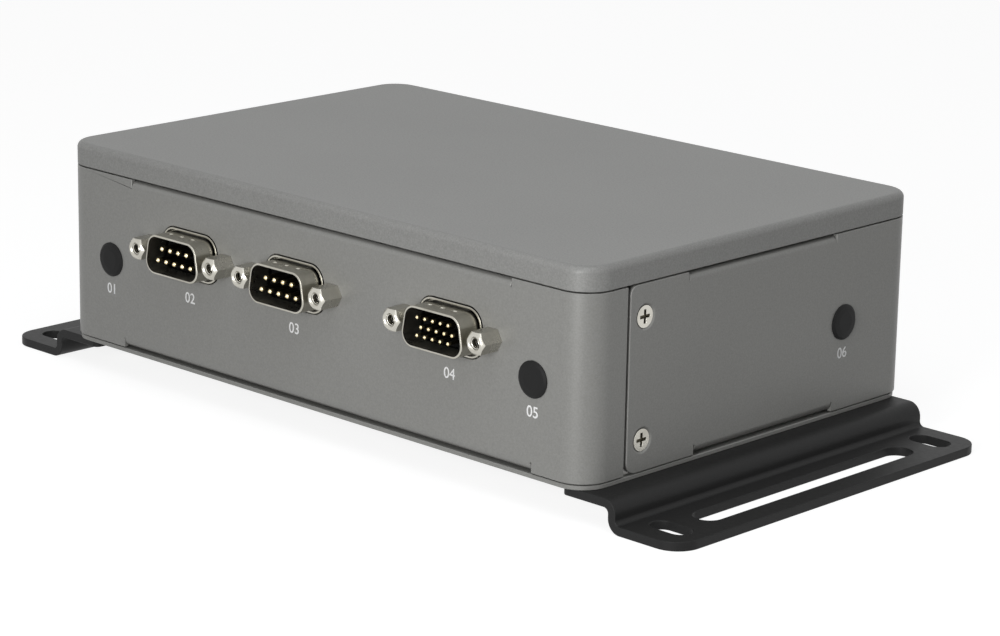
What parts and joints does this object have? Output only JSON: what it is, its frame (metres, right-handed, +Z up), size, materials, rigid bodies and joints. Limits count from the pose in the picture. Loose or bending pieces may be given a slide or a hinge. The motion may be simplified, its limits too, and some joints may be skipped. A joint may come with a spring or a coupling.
{
  "type": "fanless industrial pc",
  "caption": "Low sheet-metal computer case with rounded corners, D-shaped sockets in front, network and data sockets behind, and two slotted wall brackets.",
  "frame": {"origin": "middle of the four short bracket slots, on the plane the bracket feet stand on", "axes": "+X along the long side, +Y from the D-shaped sockets to the rear sockets, +Z up through the cover"},
  "size_m": [0.2146, 0.1153, 0.0547],
  "materials": {
    "cover_paint": "satin grey powder coat with a metallic grain",
    "case_paint": "satin warm grey powder coat with a metallic grain",
    "bracket_paint": "fine-textured black powder coat",
    "nickel": "nickel plate, semi-bright",
    "screw_steel": "nickel-plated steel",
    "inner_steel": "zinc plate",
    "gold_contact": "gold flash",
    "black_plastic": "moulded, matt",
    "plug_rubber": "soft moulded, matt",
    "board_green": "solder mask",
    "chip_black": "moulded package",
    "block_aluminium": "milled",
    "pad_grey": "soft gap filler",
    "socket_ivory": "moulded",
    "light_clear": "clear moulding"
  },
  "bodies": {
    "case": {"top_cover": "cover_paint", "front_panel": "case_paint", "rear_shell": "case_paint", "base_plate": "case_paint", "side_screws": "screw_steel", "base_screws": "screw_steel", "cover_screws": "inner_steel", "bracket_left": "bracket_paint", "bracket_right": "bracket_paint", "bracket_screws": "screw_steel", "clinch_nuts": "inner_steel", "hole_plug_left": "plug_rubber", "hole_plug_right": "plug_rubber", "hole_plug_side": "plug_rubber", "jackscrews": "nickel", "jackscrew_nuts": "inner_steel", "io_board": "board_green", "board_link": "black_plastic", "main_board": "board_green", "board_standoffs": "gold_contact", "standoff_screws": "screw_steel", "board_screws": "inner_steel", "processor": "chip_black", "heat_block": "block_aluminium", "heat_block_screws": "inner_steel", "thermal_pad": "pad_grey", "memory_socket": "socket_ivory", "memory_module": "board_green", "drive_socket": "black_plastic", "drive_module": "board_green", "drive_post": "gold_contact", "drive_screw": "inner_steel", "cell_holder": "black_plastic", "coin_cell": "nickel", "hdmi_shield": "nickel", "hdmi_insert": "black_plastic", "power_jack": "black_plastic", "power_jack_pin": "nickel", "status_light": "light_clear", "power_switch": "chip_black", "serial_1_shell": "nickel", "serial_1_insulator": "black_plastic", "serial_1_pins": "gold_contact", "serial_2_shell": "nickel", "serial_2_insulator": "black_plastic", "serial_2_pins": "gold_contact", "digital_io_shell": "nickel", "digital_io_insulator": "black_plastic", "digital_io_pins": "gold_contact", "lan_1_shield": "nickel", "lan_1_insert": "black_plastic", "usb_1_shield": "nickel", "usb_1_insert": "black_plastic", "lan_2_shield": "nickel", "lan_2_insert": "black_plastic", "usb_2_shield": "nickel", "usb_2_insert": "black_plastic"},
    "button": {"power_button": "black_plastic"}
  },
  "joints": [
    {"name": "button_press", "type": "slide", "parent": "case", "child": "button", "axis": [0, -1, 0], "range_m": [0, 0.0008], "stiffness_N_per_m": 600, "springref_m": -0.0012}
  ]
}
